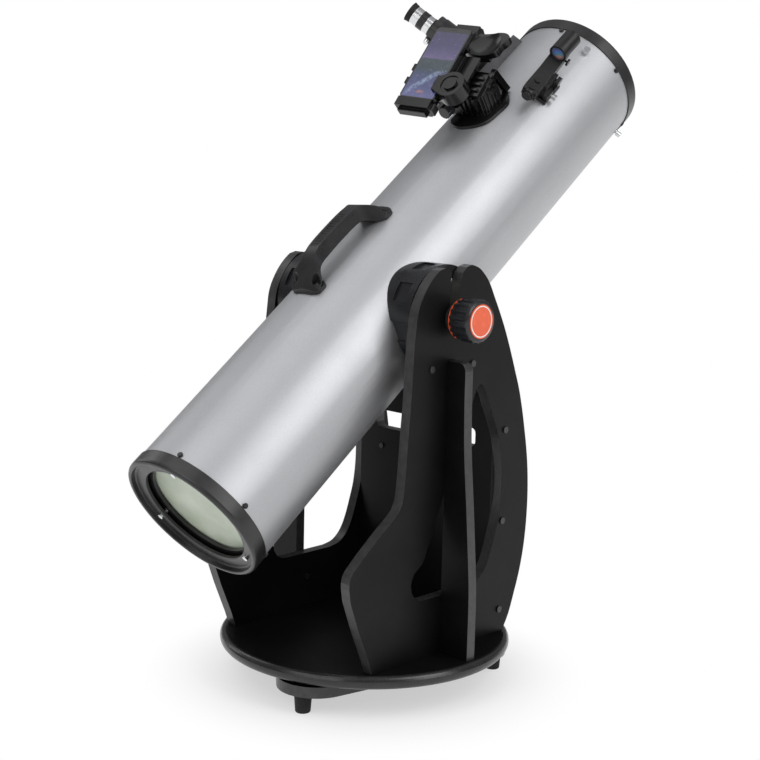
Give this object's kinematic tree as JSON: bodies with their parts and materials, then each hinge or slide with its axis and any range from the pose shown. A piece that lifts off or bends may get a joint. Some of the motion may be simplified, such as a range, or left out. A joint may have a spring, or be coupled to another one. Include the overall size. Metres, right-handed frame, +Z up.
{
  "type": "dobsonian telescope",
  "caption": "Newtonian reflector tube on a two-board rocker that turns on a ground board, with focuser, eyepiece, red dot finder and a telephone dock.",
  "frame": {"origin": "at floor level, under the middle of the whole object; the azimuth axis stands 73.3 mm behind it, at y = -0.0733", "axes": "+Z up; +X along the altitude axis towards the main tension knob; +Y towards the sky end of the tube"},
  "size_m": [0.4799, 1.0343, 1.1104],
  "materials": {
    "board": "black melamine laminate on particle board, fine grain",
    "bumper": "smooth black edge band",
    "moulding": "satin black moulded plastic, fine texture",
    "rubber": "matt black rubber",
    "tube_paint": "silver metallic paint, satin clear coat",
    "ring_paint": "satin black powder coat on cast metal",
    "steel": "zinc plated steel",
    "chrome": "bright chrome plate",
    "black_metal": "black anodised or painted metal",
    "nylon": "white nylon",
    "mirror_glass": "polished front coating, frosted pale green back",
    "secondary_glass": "polished mirror coating",
    "orange": "gloss orange disc and ring",
    "lens_glass": "coated finder window",
    "phone_glass": "dark glass and frame of a telephone"
  },
  "bodies": {
    "ground": {"ground_board": "board", "feet": "rubber", "foot_screws": "steel", "glide_pads": "nylon", "pivot_bolt": "steel"},
    "rocker": {"base_disc": "board", "base_bumper": "bumper", "pivot_bush": "nylon", "side_board_right": "board", "side_board_left": "board", "rib_right": "board", "rib_left": "board", "front_panel": "board", "board_screws": "black_metal", "bearing_pads": "nylon"},
    "tube_assembly": {"optical_tube": "tube_paint", "front_ring": "ring_paint", "rear_ring": "ring_paint", "ring_screws": "black_metal", "mirror_carrier": "black_metal", "primary_mirror": "mirror_glass", "mirror_clips": "rubber", "collimation_screws": "chrome", "collimation_springs": "steel", "spider": "black_metal", "spider_thumbscrews": "chrome", "secondary_holder": "moulding", "secondary_mirror": "secondary_glass", "altitude_hubs": "moulding", "friction_washers": "nylon", "altitude_shafts": "steel", "shaft_collars": "moulding", "carry_handle": "moulding", "handle_screws": "black_metal", "focuser_base": "ring_paint", "focuser_body": "black_metal", "dock_base": "moulding", "finder_shoe": "moulding"},
    "knob_right": {"altitude_knob_right": "moulding", "knob_disc_right": "orange"},
    "knob_left": {"altitude_knob_left": "moulding", "knob_disc_left": "orange"},
    "drawtube": {"focuser_drawtube": "black_metal", "eyepiece_adapter": "black_metal"},
    "focus_wheel": {"focus_shaft": "moulding"},
    "eyepiece_screw": {"adapter_thumbscrew": "chrome"},
    "eyepiece_unit": {"eyepiece": "chrome", "eyecup": "rubber"},
    "dock_turntable": {"dock_carrier": "moulding"},
    "dock_tray": {"dock_cradle": "moulding", "dock_mirror_hood": "moulding"},
    "dock_clamp": {"dock_jaw": "moulding"},
    "dock_tilt_wheel": {"dock_knob_tilt": "moulding"},
    "dock_turn_wheel": {"dock_knob_turn": "moulding"},
    "telephone": {"phone": "phone_glass"},
    "finder": {"finder_body": "moulding", "finder_lens": "lens_glass"},
    "finder_clamp_screw": {"finder_thumbscrew": "chrome"},
    "finder_side_wheel": {"finder_knob_side": "moulding"},
    "finder_height_wheel": {"finder_knob_height": "moulding"}
  },
  "joints": [
    {"name": "azimuth", "type": "hinge", "parent": "ground", "child": "rocker", "pos_m": [0, -0.0733, 0.062], "axis": [0, 0, 1], "continuous": true},
    {"name": "altitude", "type": "hinge", "parent": "rocker", "child": "tube_assembly", "pos_m": [0, -0.0633, 0.6093], "axis": [1, 0, 0], "range_deg": [-36.8, 53.2]},
    {"name": "tension_knob_right", "type": "hinge", "parent": "tube_assembly", "child": "knob_right", "pos_m": [0.206, -0.0633, 0.6093], "axis": [1, 0, 0], "range_deg": [-180, 180]},
    {"name": "tension_knob_left", "type": "hinge", "parent": "tube_assembly", "child": "knob_left", "pos_m": [-0.206, -0.0633, 0.6093], "axis": [-1, 0, 0], "range_deg": [-180, 180]},
    {"name": "focus_travel", "type": "slide", "parent": "tube_assembly", "child": "drawtube", "axis": [-0.6947, -0.4309, 0.576], "range_m": [-0.03, 0.025]},
    {"name": "focus_turn", "type": "hinge", "parent": "tube_assembly", "child": "focus_wheel", "pos_m": [-0.1042, 0.26518, 0.98979], "axis": [0.7193, -0.4161, 0.5562], "range_deg": [-436, 366]},
    {"name": "eyepiece_screw_turn", "type": "hinge", "parent": "drawtube", "child": "eyepiece_screw", "pos_m": [-0.16811, 0.22798, 1.04461], "axis": [0, -0.8007, -0.599], "range_deg": [0, 360]},
    {"name": "eyepiece_lift", "type": "slide", "parent": "drawtube", "child": "eyepiece_unit", "axis": [-0.6947, -0.4309, 0.576], "range_m": [0, 0.04]},
    {"name": "dock_turn", "type": "hinge", "parent": "tube_assembly", "child": "dock_turntable", "pos_m": [-0.05057, 0.13961, 0.96397], "axis": [0.1392, -0.7718, 0.6205], "range_deg": [-4, 4]},
    {"name": "dock_tilt", "type": "hinge", "parent": "dock_turntable", "child": "dock_tray", "pos_m": [-0.04827, 0.12687, 0.97421], "axis": [0.9903, 0.1085, -0.0872], "range_deg": [-3, 3]},
    {"name": "dock_tilt_knob", "type": "hinge", "parent": "dock_turntable", "child": "dock_tilt_wheel", "pos_m": [-0.03209, 0.11354, 0.94643], "axis": [0, -0.6266, -0.7793], "range_deg": [-180, 180]},
    {"name": "dock_turn_knob", "type": "hinge", "parent": "tube_assembly", "child": "dock_turn_wheel", "pos_m": [-0.02242, 0.1319, 0.93215], "axis": [0, -0.8007, -0.599], "range_deg": [-180, 180]},
    {"name": "dock_jaw_slide", "type": "slide", "parent": "dock_tray", "child": "dock_clamp", "axis": [0.9903, 0.1085, -0.0872], "range_m": [0, 0.012], "stiffness_N_per_m": 150, "springref_m": -0.01},
    {"name": "phone_slide", "type": "slide", "parent": "dock_tray", "child": "telephone", "axis": [0, 0.6266, 0.7793], "range_m": [0, 0.12]},
    {"name": "finder_slide", "type": "slide", "parent": "tube_assembly", "child": "finder", "axis": [0, 0.8007, 0.599], "range_m": [0, 0.05]},
    {"name": "finder_clamp_turn", "type": "hinge", "parent": "tube_assembly", "child": "finder_clamp_screw", "pos_m": [0.09595, 0.24861, 0.95193], "axis": [0.7547, 0.393, -0.5253], "range_deg": [0, 360]},
    {"name": "finder_side_turn", "type": "hinge", "parent": "finder", "child": "finder_side_wheel", "pos_m": [0.11127, 0.26644, 1.00822], "axis": [0.7547, 0.393, -0.5253], "range_deg": [-180, 180]},
    {"name": "finder_height_turn", "type": "hinge", "parent": "finder", "child": "finder_height_wheel", "pos_m": [0.10225, 0.25481, 0.97704], "axis": [0.7547, 0.393, -0.5253], "range_deg": [-180, 180]}
  ],
  "couplings": [
    {"joint": "focus_turn", "follows": "focus_travel", "rad_per_m": 250},
    {"joint": "dock_tilt_knob", "follows": "dock_tilt", "ratio": 60},
    {"joint": "dock_turn_knob", "follows": "dock_turn", "ratio": 45}
  ]
}
